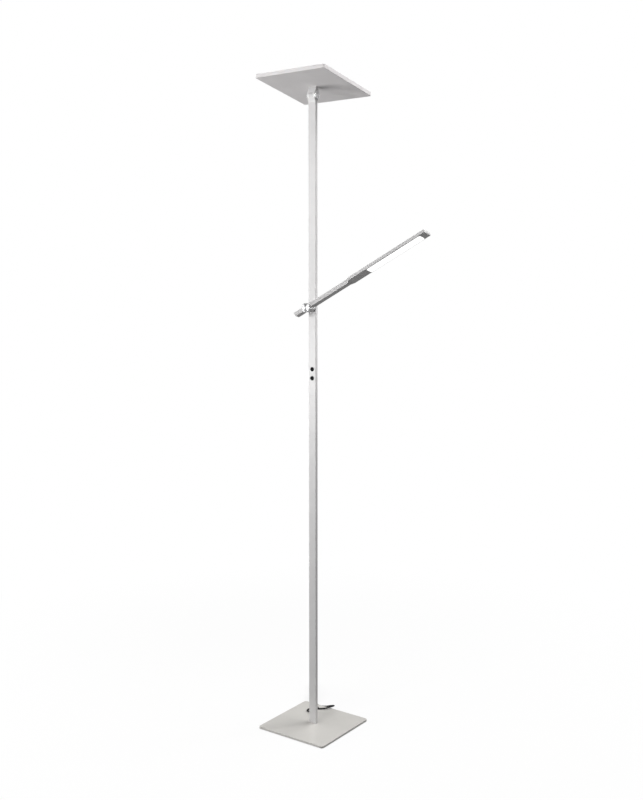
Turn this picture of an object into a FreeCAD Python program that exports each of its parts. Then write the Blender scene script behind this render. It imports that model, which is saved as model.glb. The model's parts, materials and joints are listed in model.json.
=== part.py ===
# Torchiere floor lamp with a reading light on a friction arm.
# Millimetres, Z up. The origin is on the floor, under the middle of the pole.
# The pole's wide faces lie along X. The buttons and the reading light are on its -Y side.
import FreeCAD, Part
import math
import os

V = FreeCAD.Vector
Rotation = FreeCAD.Rotation
Placement = FreeCAD.Placement
right, back, up = V(1, 0, 0), V(0, 1, 0), V(0, 0, 1)
left, front = right * -1, back * -1

# Base plate and its pad
base_side = 228.6
base_thickness = 6.0
base_corner_radius = 8.0
base_edge_radius = 0.8
pad_thickness = 1.2
pad_inset = 2.5

# Pole, a flat rectangular tube in two lengths
pole_width = 24.0
pole_depth = 9.5
pole_wall = 1.2
pole_corner_radius = 0.6
lower_tube_length = 960.0
upper_tube_length = 803.7
seam_gap = 0.3

# Inserts inside the pole
insert_gap = 0.15
foot_height = 22.0
foot_screw_spacing = 12.0
coupler_length = 60.0
coupler_wall = 1.2
fitting_plug_length = 30.0

# Screws
screw_gap = 0.1
foot_screw_diameter = 5.0
foot_screw_head = 9.6
foot_screw_length = 18.0
grub_diameter = 4.0
grub_length = 2.8
small_grub_diameter = 3.0
small_grub_length = 1.6
bracket_screw_diameter = 4.0

# Push buttons and the switch board behind them
buttons_above_seam = 62.0
button_spacing = 25.4
button_diameter = 12.0
button_gap = 0.3
button_proud = 1.6
button_flange = 1.0
button_flange_thickness = 0.8
button_travel = 0.5
button_rest_gap = 0.2
board_width = 18.0
board_length = 56.0
board_thickness = 1.0
switch_side = 6.0
switch_height = 2.1
carrier_rail = 1.0

# Cables inside
mains_cable_diameter = 3.2
feed_cable_diameter = 2.2
cable_bend_run = 60.0

# Reading light pivot
pivot_above_seam = 247.3
arm_offset = 23.0
hub_diameter = 25.4
hub_nose = 11.0
hub_cap_thickness = 2.0
washer_thickness = 1.2
turning_gap = 0.15
running_gap = 0.05
pivot_bolt_diameter = 8.0
pivot_bolt_bore = 4.0
pivot_bolt_head = 11.0
pivot_bolt_reach = 14.0
spring_washer_thickness = 0.6
access_plug_diameter = 12.4
access_plug_lip = 1.2

# Reading arm
lift_angle = 27.35
roll_angle = 18.3
arm_width = 14.4
arm_height = 12.4
arm_wall = 1.15
arm_corner_radius = 0.6
arm_reach = 153.0
tail_reach = 41.5
tail_cap_under = 2.5
tail_cap_top = 8.5
journal_diameter = 10.0
journal_bore = 6.0
journal_into_arm = 40.0
journal_into_tail = 35.0
bush_wall = 1.0
bush_inner_end = 4.2

# Reading light head
neck_length = 9.0
reading_width = 27.8
reading_thickness = 8.8
reading_length = 259.0
reading_wall = 1.2
reading_corner_radius = 0.6
reading_window_start = 61.5
reading_window_to_tip = 15.5
reading_front_rim = 3.3
reading_back_rim = 1.3
reading_window_corner = 4.5
reading_end_thickness = 2.0
reading_end_plug = 7.0
reading_led_count = 24

# Uplight hinge
hinge_rise = 20.5
barrel_diameter = 22.0
barrel_gap = 0.35
knuckle_half = 5.4
hinge_washer_thickness = 0.6
hinge_pin_diameter = 8.0
hinge_pin_bore = 5.0
hinge_cap_diameter = 21.0
hinge_cap_thickness = 5.0
hinge_left_cap_thickness = 1.2
hinge_cap_spigot = 6.0
neck_shoulder = 2.0

# Uplight head
head_tilt = 9.8
head_rise = 23.1
head_side = 228.6
head_thickness = 10.2
head_wall = 1.5
head_corner_radius = 5.0
head_frame_width = 5.0
head_diffuser_thickness = 2.0
head_diffuser_sink = 0.4
head_fit_gap = 0.2
strip_width = 12.0
strip_thickness = 1.6
strip_length = 190.0
strip_rows = (35.0, 60.0, 85.0)
leds_per_strip = 12
led_length = 3.5
led_width = 2.8
led_thickness = 0.8
driver_length = 86.0
driver_width = 34.0
driver_height = 5.2
mount_plate_length = 30.0
mount_plate_width = 28.0
mount_plate_thickness = 2.0

# Power cord, its relief, its put-away hank and its plug
cord_diameter = 4.2
cord_exit_x = -6.5
cord_exit_height = 32.0
relief_length = 17.8
relief_diameter = 6.4
relief_flange = 8.0
hank_run = 122.0
hank_fold_radius = 10.4
hank_layers = 4
hank_layer_pitch = 4.8
hank_waist_gap = 1.0
hank_waist_lift = 1.3
tie_width = 8.0
tie_thickness = 0.9
tie_gap = 0.3
plug_length = 36.0
plug_width = 22.0
plug_thickness = 12.0
plug_boot_length = 18.0
plug_height_over_hank = 9.75
blade_length = 17.0
blade_width = 6.3
blade_thickness = 1.5
blade_spacing = 12.7

# Heights and places that follow from the sizes
base_top = pad_thickness + base_thickness
seam_z = base_top + lower_tube_length
upper_tube_bottom = seam_z + seam_gap
pole_top = upper_tube_bottom + upper_tube_length
hinge_z = pole_top + hinge_rise
buttons_z = seam_z + buttons_above_seam
pivot_z = seam_z + pivot_above_seam
front_face = pole_depth / 2
front_inner = front_face - pole_wall
insert_width = pole_width - 2 * (pole_wall + insert_gap)
insert_depth = pole_depth - 2 * (pole_wall + insert_gap)

nodes = {}


def box(x_range, y_range, z_range):
    size = [high - low for low, high in (x_range, y_range, z_range)]
    return Part.makeBox(*size, V(x_range[0], y_range[0], z_range[0]))


def centred_box(width, depth, z_range):
    return box((-width / 2, width / 2), (-depth / 2, depth / 2), z_range)


def rounded_bar(width, depth, radius, z_range):
    bar = centred_box(width, depth, z_range)
    upright = [edge for edge in bar.Edges if abs(edge.tangentAt(edge.FirstParameter).z) > 0.9]
    return bar.makeFillet(radius, upright)


def rounded_tube(width, depth, wall, radius, z_range):
    inner_radius = max(radius - wall, 0.3)
    bore = rounded_bar(width - 2 * wall, depth - 2 * wall, inner_radius, z_range)
    return rounded_bar(width, depth, radius, z_range).cut(bore)


def rod(diameter, start, end, axis=up, at=V(0, 0, 0)):
    return Part.makeCylinder(diameter / 2, end - start, at + axis * start, axis)


def ring(outer, inner, start, end, axis=up, at=V(0, 0, 0)):
    return rod(outer, start, end, axis, at).cut(rod(inner, start, end, axis, at))


def hexagon(across_flats, start, end, axis, at):
    corner = across_flats / math.sqrt(3)
    turns = [math.radians(60 * step) for step in range(7)]
    outline = Part.makePolygon([V(corner * math.cos(t), corner * math.sin(t), start) for t in turns])
    prism = Part.Face(outline).extrude(V(0, 0, end - start))
    prism.Placement = Placement(at, Rotation(up, axis))
    return prism


def rim_filleted(shape, radius, axis, level):
    # Rounds the circular or straight edges that lie in one plane square to the axis
    flat = [edge for edge in shape.Edges
            if all(abs(vertex.Point.dot(axis) - level) < 1e-4 for vertex in edge.Vertexes)
            and abs(edge.CenterOfMass.dot(axis) - level) < 1e-4]
    return shape.makeFillet(radius, flat)


def all_of(shapes):
    return Part.makeCompound(shapes)


def placed(shape, placement):
    moved = shape.copy()
    moved.Placement = placement.multiply(shape.Placement)
    return moved


def tangent_side(radius, outer_y, outer_z):
    # The point where a line from (outer_y, outer_z) touches a circle round the origin
    reach = math.hypot(outer_y, outer_z)
    angle = math.atan2(outer_z, outer_y)
    swing = math.copysign(math.acos(radius / reach), outer_z)
    return radius * math.cos(angle - swing), radius * math.sin(angle - swing)


def yz_prism(points, half_width):
    outline = Part.makePolygon([V(-half_width, y, z) for y, z in points + points[:1]])
    return Part.Face(outline).extrude(V(2 * half_width, 0, 0))


def rounded_route(points):
    # Straight runs joined by tangent arcs, each as large as its two runs allow
    edges, radii, last = [], [], points[0]
    for before, corner, after in zip(points, points[1:], points[2:]):
        into, out = corner - before, after - corner
        turn = into.getAngle(out)
        shorter = min(into.Length, out.Length)
        into.normalize()
        out.normalize()
        radius = 0.45 * shorter / math.tan(turn / 2)
        radii.append(radius)
        start, end = corner - into * (0.45 * shorter), corner + out * (0.45 * shorter)
        inward = (out - into).normalize()
        middle = corner + inward * (radius / math.cos(turn / 2) - radius)
        edges.append(Part.LineSegment(last, start).toShape())
        edges.append(Part.Arc(start, middle, end).toShape())
        last = end
    edges.append(Part.LineSegment(last, points[-1]).toShape())
    return Part.Wire(edges), radii


def swept(path, diameter):
    # A round tube along a wire whose edges are tangent to each other
    first = path.Edges[0]
    start = first.valueAt(first.FirstParameter)
    heading = first.tangentAt(first.FirstParameter)
    section = Part.Wire(Part.makeCircle(diameter / 2, start, heading))
    return path.makePipeShell([section], True, False)


def report_tube(name, tube, path, diameter, radii):
    expected = math.pi / 4 * diameter ** 2 * path.Length
    print(name, "length %.1f, volume share %.4f" % (path.Length, tube.Volume / expected))
    print(name, "radii", " ".join("%.1f" % radius for radius in radii))


# Base plate with two countersunk holes under the pole, on a thin pad
foot_screw_places = [V(side * foot_screw_spacing / 2, 0, 0) for side in (-1, 1)]
foot_head_height = (foot_screw_head - foot_screw_diameter) / 2


def foot_screw_shape(at, grown):
    # The countersunk screw, or its hole when grown by the fit
    head = Part.makeCone(foot_screw_head / 2 + grown, foot_screw_diameter / 2 + grown,
                         foot_head_height, at + up * (pad_thickness + 0.1), up)
    shank = rod(foot_screw_diameter + 2 * grown, pad_thickness + 0.1,
                pad_thickness + 0.1 + foot_screw_length + grown, up, at)
    return head.fuse(shank)


def foot_screw_hole(at):
    mouth = rod(foot_screw_head + 2 * screw_gap, pad_thickness, pad_thickness + 0.1, up, at)
    return foot_screw_shape(at, screw_gap).fuse(mouth)


plate = rounded_bar(base_side, base_side, base_corner_radius, (pad_thickness, base_top))
plate = rim_filleted(plate, base_edge_radius, up, base_top)
for place in foot_screw_places:
    plate = plate.cut(foot_screw_hole(place))
nodes["base_plate"] = plate
pad_side = base_side - 2 * pad_inset
nodes["base_pad"] = rounded_bar(pad_side, pad_side, base_corner_radius - pad_inset, (0, pad_thickness))

foot = rounded_bar(insert_width, insert_depth, 0.5, (base_top, base_top + foot_height))
for place in foot_screw_places:
    foot = foot.cut(foot_screw_hole(place))

screws = []
for place in foot_screw_places:
    screw = foot_screw_shape(place, 0)
    socket = hexagon(3.0, 0, 2.0, up, place + up * (pad_thickness + 0.1))
    screws.append(screw.cut(socket))
nodes["foot_screws"] = all_of(screws)

# Pole tubes, the coupler in their seam and the grub screws that hold every insert from behind
grub_depth = front_face - 0.1
grub_end = grub_depth - grub_length
foot_grub_z = base_top + foot_height / 2
coupler_grubs = [seam_z + side * reach for side in (-1, 1) for reach in (9.0, 22.0)]
fitting_grub_z = pole_top - fitting_plug_length / 2
grub_heights = [foot_grub_z] + coupler_grubs + [fitting_grub_z]


def grub_hole(z):
    return rod(grub_diameter + 2 * screw_gap, grub_end - screw_gap, pole_depth, back, V(0, 0, z))


grubs = []
for z in grub_heights:
    grub = rod(grub_diameter, grub_end, grub_depth, back, V(0, 0, z))
    grubs.append(grub.cut(hexagon(2.0, grub_depth - 1.5, grub_depth, back, V(0, 0, z))))
nodes["grub_screws"] = all_of(grubs)

nodes["pole_foot"] = foot.cut(grub_hole(foot_grub_z))

coupler_range = (seam_z - coupler_length / 2, seam_z + coupler_length / 2)
coupler = rounded_tube(insert_width, insert_depth, coupler_wall, 0.5, coupler_range)
for z in coupler_grubs:
    coupler = coupler.cut(grub_hole(z))
nodes["pole_coupler"] = coupler

relief_z = base_top + cord_exit_height
relief_at = V(cord_exit_x, 0, relief_z)
lower_tube = rounded_tube(pole_width, pole_depth, pole_wall, pole_corner_radius, (base_top, seam_z))
for z in grub_heights[:3]:
    lower_tube = lower_tube.cut(grub_hole(z))
lower_tube = lower_tube.cut(rod(relief_diameter + 2 * screw_gap, 0, pole_depth, back, relief_at))
nodes["pole_lower"] = lower_tube

# Each button is a capped plunger with a flange behind the pole's front wall
button_heights = {"button_top": buttons_z + button_spacing / 2,
                  "button_bottom": buttons_z - button_spacing / 2}
switch_front = front_inner - button_flange_thickness - 2 * turning_gap - 1.55
board_front = switch_front - switch_height
flange_front = front_inner - 2 * turning_gap / 3
button_hole = button_diameter + 2 * button_gap


def button_shape(z):
    at = V(0, 0, z)
    face = front_face + button_proud
    cap = rod(button_diameter, flange_front - button_flange_thickness, face, front, at)
    cap = rim_filleted(cap, 0.7, front, face)
    dish_radius = 60.0
    cap = cap.cut(Part.makeSphere(dish_radius, at + front * (face - 0.3 + dish_radius)))
    cap = cap.cut(Part.makeSphere(1.6, at + front * (face + 0.9)))
    flange = rod(button_diameter + 2 * button_flange, flange_front - button_flange_thickness,
                 flange_front, front, at)
    stem = rod(4.0, switch_front + button_travel + button_rest_gap, flange_front, front, at)
    return cap.fuse([flange, stem]).removeSplitter()


for name, z in button_heights.items():
    nodes[name] = button_shape(z)

upper_tube = rounded_tube(pole_width, pole_depth, pole_wall, pole_corner_radius,
                          (upper_tube_bottom, pole_top))
for z in button_heights.values():
    upper_tube = upper_tube.cut(rod(button_hole, 0, pole_depth, front, V(0, 0, z)))
for z in grub_heights[3:]:
    upper_tube = upper_tube.cut(grub_hole(z))
pivot_at = V(0, 0, pivot_z)
bolt_hole = pivot_bolt_diameter + 4 * running_gap
upper_tube = upper_tube.cut(rod(bolt_hole, 0, pole_depth, front, pivot_at))
upper_tube = upper_tube.cut(rod(access_plug_diameter + 2 * screw_gap, 0, pole_depth, back, pivot_at))
nodes["pole_upper"] = upper_tube

# Switch board on its carrier, standing against the pole's rear wall
board_range = (buttons_z - board_length / 2, buttons_z + board_length / 2)
carrier_back = front_inner - screw_gap
board_back = board_thickness - board_front
carrier_floor_y = (board_back, carrier_back)
connector_length = 6.0
connector_front = -(board_front + 3.0)
board = box((-board_width / 2, board_width / 2), (-board_front, board_back), board_range)
connectors = []
for low in (board_range[0], board_range[1] - connector_length):
    connectors.append(box((-board_width / 2, board_width / 2), (connector_front, -board_front),
                          (low, low + connector_length)))
chips = []
for x in (-3.5, 3.5):
    chips.append(box((x - 2.5, x + 2.5), (-board_front - 1.5, -board_front),
                     (buttons_z - 4.0, buttons_z + 4.0)))
nodes["switch_board"] = board.fuse(connectors + chips)

switches = []
for z in button_heights.values():
    switches.append(box((-switch_side / 2, switch_side / 2), (-switch_front, -board_front),
                        (z - switch_side / 2, z + switch_side / 2)))
nodes["tact_switches"] = all_of(switches)

carrier_half = pole_width / 2 - pole_wall - insert_gap
carrier = box((-carrier_half, carrier_half), carrier_floor_y, board_range)
for side in (-1, 1):
    rail = sorted((side * carrier_half, side * (carrier_half - carrier_rail)))
    carrier = carrier.fuse(box(rail, (-carrier_back, carrier_back), board_range))
nodes["switch_carrier"] = carrier.removeSplitter()

# Cables that the pole holds
relief_inner = front_inner - 1.0
supply_route = [V(cord_exit_x, relief_inner, relief_z), V(cord_exit_x, 0.2, relief_z),
                V(cord_exit_x, -1.5, relief_z + 1.8), V(cord_exit_x, -1.5, relief_z + 10.0),
                V(-5.0, 0, relief_z + cable_bend_run), V(-5.0, 0, board_range[0])]
supply_path, supply_radii = rounded_route(supply_route)
nodes["supply_cable"] = swept(supply_path, mains_cable_diameter)
report_tube("supply_cable", nodes["supply_cable"], supply_path, mains_cable_diameter, supply_radii)

lamp_cable_x = -7.8
fitting_bottom = pole_top - fitting_plug_length
lamp_route = [V(lamp_cable_x, 0, board_range[1]), V(lamp_cable_x, 0, fitting_bottom - cable_bend_run),
              V(0, 0, fitting_bottom - 20.0), V(0, 0, hinge_z - 8.0)]
lamp_path, lamp_radii = rounded_route(lamp_route)
nodes["uplight_cable"] = swept(lamp_path, mains_cable_diameter)
report_tube("uplight_cable", nodes["uplight_cable"], lamp_path, mains_cable_diameter, lamp_radii)

feed_y = 1.95
feed_end = arm_offset - journal_diameter / 2 - 3.0
feed_route = [V(7.8, 0, board_range[1]), V(7.8, 0, pivot_z - 24.0), V(7.8, feed_y, pivot_z - 14.0),
              V(7.8, feed_y, pivot_z), V(0, feed_y, pivot_z), V(0, -feed_end, pivot_z)]
feed_path, feed_radii = rounded_route(feed_route)
nodes["reading_feed_cable"] = swept(feed_path, feed_cable_diameter)
report_tube("reading_feed_cable", nodes["reading_feed_cable"], feed_path, feed_cable_diameter, feed_radii)

# Pivot of the reading arm, built along the front axis from the pole's middle
hub_back = front_face + washer_thickness + turning_gap
hub_front = arm_offset + hub_nose
arm_at = V(0, -arm_offset, pivot_z)
lift_rotation = Rotation(back, -lift_angle)
arm_axis = lift_rotation.multVec(right)
bush_outer = journal_diameter + 2 * (running_gap + bush_wall)

nodes["pivot_washer"] = ring(hub_diameter, pivot_bolt_diameter + 0.6, front_face,
                             front_face + washer_thickness, front, pivot_at)

hub = rod(hub_diameter, hub_back, hub_front, front, pivot_at)
hub = hub.cut(rod(pivot_bolt_diameter + 2 * running_gap, 0, pivot_bolt_reach + 0.2, front, pivot_at))
hub = hub.cut(rod(5.0, 0, arm_offset, front, pivot_at))
hub = hub.cut(rod(bush_outer + 2 * running_gap, -hub_diameter, hub_diameter, arm_axis, arm_at))
nodes["pivot_hub"] = hub

hub_cap = rod(hub_diameter, hub_front, hub_front + hub_cap_thickness, front, pivot_at)
nodes["pivot_cap"] = rim_filleted(hub_cap, 0.9, front, hub_front + hub_cap_thickness)

bolt_head_front = front_inner - running_gap - spring_washer_thickness
bolt = rod(pivot_bolt_diameter, bolt_head_front - 1.0, pivot_bolt_reach, front, pivot_at)
bolt_head = rod(pivot_bolt_head, bolt_head_front - 2.6, bolt_head_front, front, pivot_at)
slot = box((-pivot_bolt_head, pivot_bolt_head), (-(bolt_head_front - 1.7), pole_depth),
           (pivot_z - 0.8, pivot_z + 0.8))
bolt = bolt.fuse(bolt_head).cut(slot)
nodes["pivot_bolt"] = bolt.cut(rod(pivot_bolt_bore, -pole_depth, arm_offset, front, pivot_at))
nodes["pivot_spring_washer"] = ring(pivot_bolt_head, pivot_bolt_diameter + 2 * running_gap,
                                    bolt_head_front, bolt_head_front + spring_washer_thickness,
                                    front, pivot_at)

bush_outer_end = math.sqrt(hub_diameter ** 2 - bush_outer ** 2) / 2 - 0.1
bushes = []
for side in (-1, 1):
    start, end = sorted((side * bush_inner_end, side * bush_outer_end))
    bushes.append(ring(bush_outer, journal_diameter + 2 * running_gap, start, end, arm_axis, arm_at))
nodes["arm_bushes"] = all_of(bushes)

plug_lip = rod(access_plug_diameter + 2.4, front_face, front_face + access_plug_lip, back, pivot_at)
plug_lip = rim_filleted(plug_lip, 0.6, back, front_face + access_plug_lip)
plug_body = rod(access_plug_diameter, front_inner - 0.25, front_face, back, pivot_at)
nodes["rear_access_plug"] = plug_lip.fuse(plug_body)

# Reading arm. On the bench it lies along Z from the pivot, with its top along Y.
bench_turn = Placement(V(0, 0, 0), Rotation(V(1, 1, 1), 120))
roll_rotation = Rotation(right, -roll_angle)
arm_place = Placement(arm_at, lift_rotation.multiply(roll_rotation)).multiply(bench_turn)


def on_arm(shape):
    return placed(shape, arm_place)


arm_start = hub_diameter / 2 + 0.4
journal = ring(journal_diameter, journal_bore, -journal_into_tail, journal_into_arm)
journal = journal.cut(box((1.0, journal_diameter), (-5.0, 5.0), (-3.0, 3.0)))
small_grub_top = arm_height / 2 - 0.1
small_grub_end = small_grub_top - small_grub_length
small_grubs = []
arm_tube = rounded_tube(arm_width, arm_height, arm_wall, arm_corner_radius, (arm_start, arm_reach))
tail_tube = rounded_tube(arm_width, arm_height, arm_wall, arm_corner_radius, (-tail_reach, -arm_start))
for z in (arm_start + 12.0, -arm_start - 12.0):
    at = V(0, 0, z)
    hole = rod(small_grub_diameter + 2 * screw_gap, small_grub_end - screw_gap, arm_height, front, at)
    journal = journal.cut(hole)
    arm_tube = arm_tube.cut(hole)
    tail_tube = tail_tube.cut(hole)
    screw = rod(small_grub_diameter, small_grub_end, small_grub_top, front, at)
    socket = hexagon(1.5, small_grub_top - 0.9, small_grub_top, front, at)
    small_grubs.append(on_arm(screw.cut(socket)))
nodes["arm_journal"] = on_arm(journal)
nodes["arm_tube"] = on_arm(arm_tube)
nodes["arm_tail"] = on_arm(tail_tube)
nodes["arm_set_screws"] = all_of(small_grubs)

# The tail's cap is mitred, its top edge further out than its underside
half_height = arm_height / 2
tail_cap = rounded_bar(arm_width, arm_height, arm_corner_radius, (-tail_reach - tail_cap_top, -tail_reach))
mitre = [(-half_height, -tail_reach - tail_cap_under), (half_height, -tail_reach - tail_cap_top),
         (-half_height, -tail_reach - tail_cap_top)]
tail_cap = tail_cap.cut(yz_prism(mitre, arm_width))
arm_inner_width = arm_width - 2 * arm_wall
arm_inner_height = arm_height - 2 * arm_wall
tail_plug = centred_box(arm_inner_width - 0.2, arm_inner_height - 0.2,
                        (-tail_reach, -journal_into_tail - 1.0))
nodes["arm_tail_cap"] = on_arm(tail_cap.fuse(tail_plug))

# Tapered neck between the arm and the reading head, with a spigot in each
neck_end = arm_reach + neck_length
reading_end = neck_end + reading_length
reading_inner_width = reading_width - 2 * reading_wall
reading_inner_thickness = reading_thickness - 2 * reading_wall


def rounded_outline(width, depth, radius, z):
    flat = rounded_bar(width, depth, radius, (z, z + 1.0))
    face = min(flat.Faces, key=lambda f: f.CenterOfMass.z)
    return face.OuterWire


taper = Part.makeLoft([rounded_outline(arm_width, arm_height, arm_corner_radius, arm_reach),
                       rounded_outline(reading_width, reading_thickness, reading_corner_radius, neck_end)],
                      True, True)
arm_spigot = centred_box(arm_inner_width - 0.2, arm_inner_height - 0.2, (arm_reach - 15.0, arm_reach))
reading_spigot = centred_box(reading_inner_width - 0.2, reading_inner_thickness - 0.2,
                             (neck_end, neck_end + 16.0))
neck = taper.fuse([arm_spigot, reading_spigot])
nodes["reading_neck"] = on_arm(neck.cut(rod(4.0, 0, reading_end)))

# Reading head: a flat channel with a window in its underside, which is -Y on the bench
window_start = neck_end + reading_window_start
window_end = reading_end - reading_window_to_tip
window_length = window_end - window_start
underside = -reading_thickness / 2
inner_underside = underside + reading_wall


def window_prism(gap, y_range):
    width = reading_width - reading_front_rim - reading_back_rim - 2 * gap
    length = window_length - 2 * gap
    prism = rounded_bar(width, length, reading_window_corner - gap, y_range)
    aside = (reading_front_rim - reading_back_rim) / 2
    middle = (window_start + window_end) / 2
    return placed(prism, Placement(V(aside, 0, middle), Rotation(right, -90)))


shell = rounded_tube(reading_width, reading_thickness, reading_wall, reading_corner_radius,
                     (neck_end, reading_end))
nodes["reading_shell"] = on_arm(shell.cut(window_prism(0, (underside - 1.0, inner_underside + 1.0))))

diffuser_lip = 1.1
lip_overlap = 5.0
lens = window_prism(0.1, (underside, inner_underside))
lens_lip = box((-(reading_inner_width - 0.6) / 2, (reading_inner_width - 0.6) / 2),
               (inner_underside, inner_underside + diffuser_lip),
               (window_start - lip_overlap, window_end + lip_overlap))
nodes["reading_diffuser"] = on_arm(lens.fuse(lens_lip))

strip_top = -inner_underside
reading_strip_range = (neck_end + 20.0, reading_end - 12.0)
nodes["reading_led_strip"] = on_arm(box((-6.0, 6.0), (strip_top - 1.0, strip_top), reading_strip_range))
first_led = 6.0
led_pitch = (window_length - 2 * first_led) / (reading_led_count - 1)
reading_leds = []
for index in range(reading_led_count):
    z = window_start + first_led + index * led_pitch
    reading_leds.append(on_arm(box((-led_length / 2, led_length / 2), (strip_top - 1.7, strip_top - 1.0),
                                   (z - led_width / 2, z + led_width / 2))))
nodes["reading_leds"] = all_of(reading_leds)

end_cap = rounded_bar(reading_width, reading_thickness, reading_corner_radius,
                      (reading_end, reading_end + reading_end_thickness))
end_cap = rim_filleted(end_cap, 0.6, up, reading_end + reading_end_thickness)
end_plug = centred_box(reading_inner_width - 0.2, reading_inner_thickness - 0.2,
                       (reading_end - reading_end_plug, reading_end))
end_plug = end_plug.cut(centred_box(reading_inner_width - 3.0, reading_inner_thickness - 2.6,
                                    (reading_end - reading_end_plug, reading_end - 1.0)))
nodes["reading_end_cap"] = on_arm(end_cap.fuse(end_plug))
nodes["reading_arm_cable"] = on_arm(rod(feed_cable_diameter, 5.0, neck_end + 26.0))

# Hinge of the uplight: the pole's fitting carries the middle knuckle
hinge_at = V(0, 0, hinge_z)
barrel_radius = barrel_diameter / 2
seat_diameter = barrel_diameter + 2 * barrel_gap
cheek_inner = knuckle_half + hinge_washer_thickness + running_gap
half_width = pole_width / 2
shoulder_top = -hinge_rise + neck_shoulder
neck_y, neck_z = tangent_side(barrel_radius, front_face, shoulder_top)
neck_profile = [(-front_face, shoulder_top), (front_face, shoulder_top), (neck_y, neck_z), (0, 0),
                (-neck_y, neck_z)]
fitting_plug = rounded_bar(insert_width, insert_depth, 0.5,
                           (-hinge_rise - fitting_plug_length, -hinge_rise))
shoulder = rounded_bar(pole_width, pole_depth, pole_corner_radius, (-hinge_rise, shoulder_top))
fitting = yz_prism(neck_profile, half_width).fuse([shoulder, fitting_plug])
for side in (-1, 1):
    start, end = sorted((side * knuckle_half, side * pole_width))
    fitting = fitting.cut(rod(seat_diameter, start, end, right))
knuckle = rod(barrel_diameter, -knuckle_half, knuckle_half, right)
fitting = fitting.fuse(knuckle)
fitting = fitting.cut(rod(hinge_pin_diameter + 2 * running_gap, -pole_width, pole_width, right))
fitting = fitting.cut(rod(mains_cable_diameter + 0.8, -hinge_rise - fitting_plug_length, 0))
fitting = placed(fitting, Placement(hinge_at, Rotation()))
nodes["hinge_fitting"] = fitting.cut(grub_hole(fitting_grub_z)).removeSplitter()

# On the bench the head stands level, with the hinge axis at the origin
head_place = Placement(hinge_at, Rotation(right, -head_tilt))


def on_head(shape):
    return placed(shape, head_place)


flare_y, flare_z = tangent_side(barrel_radius, front_face, head_rise)
bracket_profile = [(front_face, head_rise), (-front_face, head_rise), (-flare_y, flare_z), (0, 0),
                   (flare_y, flare_z)]
bracket = yz_prism(bracket_profile, half_width)
for side in (-1, 1):
    start, end = sorted((side * cheek_inner, side * half_width))
    bracket = bracket.fuse(rod(barrel_diameter, start, end, right))
bracket = bracket.cut(rod(seat_diameter, -cheek_inner, cheek_inner, right))
bracket = bracket.cut(rod(hinge_pin_diameter + running_gap, -pole_width, pole_width, right))
bracket_screw_x = (-6.0, 6.0)
bracket_screw_depth = 9.0
for x in bracket_screw_x:
    bracket = bracket.cut(rod(bracket_screw_diameter + 2 * screw_gap, head_rise - bracket_screw_depth,
                              head_rise, up, V(x, 0, 0)))
nodes["head_bracket"] = on_head(bracket.removeSplitter())

washers = []
for side in (-1, 1):
    start, end = sorted((side * (knuckle_half + running_gap / 2),
                         side * (knuckle_half + running_gap / 2 + hinge_washer_thickness)))
    washers.append(on_head(ring(barrel_diameter - 1.0, hinge_pin_diameter + 4 * running_gap,
                                start, end, right)))
nodes["hinge_washers"] = all_of(washers)
nodes["hinge_pin"] = on_head(ring(hinge_pin_diameter, hinge_pin_bore, -half_width, half_width, right))
caps = []
for outward, thickness in ((left, hinge_left_cap_thickness), (right, hinge_cap_thickness)):
    cap = rod(hinge_cap_diameter, half_width, half_width + thickness, outward)
    cap = rim_filleted(cap, 0.4 * thickness, outward, half_width + thickness)
    spigot = rod(hinge_pin_bore - 0.1, half_width - hinge_cap_spigot, half_width, outward)
    caps.append(on_head(cap.fuse(spigot)))
nodes["hinge_caps"] = all_of(caps)

# Uplight head: a square pan, open at the top, with the light's parts inside
pan_bottom = head_rise
pan_floor = pan_bottom + head_wall
pan_top = pan_bottom + head_thickness
pan = rounded_bar(head_side, head_side, head_corner_radius, (pan_bottom, pan_top))
pan = rim_filleted(pan, 0.7, up, pan_bottom)
pan_inner = head_side - 2 * head_wall
pan_inner_radius = head_corner_radius - head_wall
pan = pan.cut(rounded_bar(pan_inner, pan_inner, pan_inner_radius, (pan_floor, pan_top)))
for x in bracket_screw_x:
    pan = pan.cut(rod(bracket_screw_diameter + 2 * screw_gap, pan_bottom, pan_floor, up, V(x, 0, 0)))
nodes["head_pan"] = on_head(pan)

diffuser_top = pan_top - head_diffuser_sink
diffuser_bottom = diffuser_top - head_diffuser_thickness
frame_side = pan_inner - 2 * head_fit_gap
frame_radius = pan_inner_radius - head_fit_gap
head_frame = rounded_bar(frame_side, frame_side, frame_radius, (pan_floor, diffuser_bottom))
opening_side = frame_side - 2 * head_frame_width
head_frame = head_frame.cut(centred_box(opening_side, opening_side, (pan_floor, diffuser_bottom)))
nodes["head_frame"] = on_head(head_frame)
head_diffuser = rounded_bar(frame_side, frame_side, frame_radius, (diffuser_bottom, diffuser_top))
nodes["head_diffuser"] = on_head(rim_filleted(head_diffuser, 0.5, up, diffuser_top))

strip_top_z = pan_floor + strip_thickness
strip_ys = [side * row for row in strip_rows for side in (-1, 1)]
strips = []
chips = []
chip_pitch = (strip_length - 14.0) / (leds_per_strip - 1)
for y in strip_ys:
    strips.append(on_head(box((-strip_length / 2, strip_length / 2),
                              (y - strip_width / 2, y + strip_width / 2), (pan_floor, strip_top_z))))
    for index in range(leds_per_strip):
        x = -strip_length / 2 + 7.0 + index * chip_pitch
        chips.append(on_head(box((x - led_length / 2, x + led_length / 2),
                                 (y - led_width / 2, y + led_width / 2),
                                 (strip_top_z, strip_top_z + led_thickness))))
nodes["head_led_strips"] = all_of(strips)
nodes["head_leds"] = all_of(chips)

driver_start = mount_plate_length / 2 + 6.0
driver = box((driver_start, driver_start + driver_length), (-driver_width / 2, driver_width / 2),
             (pan_floor, pan_floor + driver_height))
driver = rim_filleted(driver, 1.0, up, pan_floor + driver_height)
nodes["head_driver"] = on_head(driver)

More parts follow.
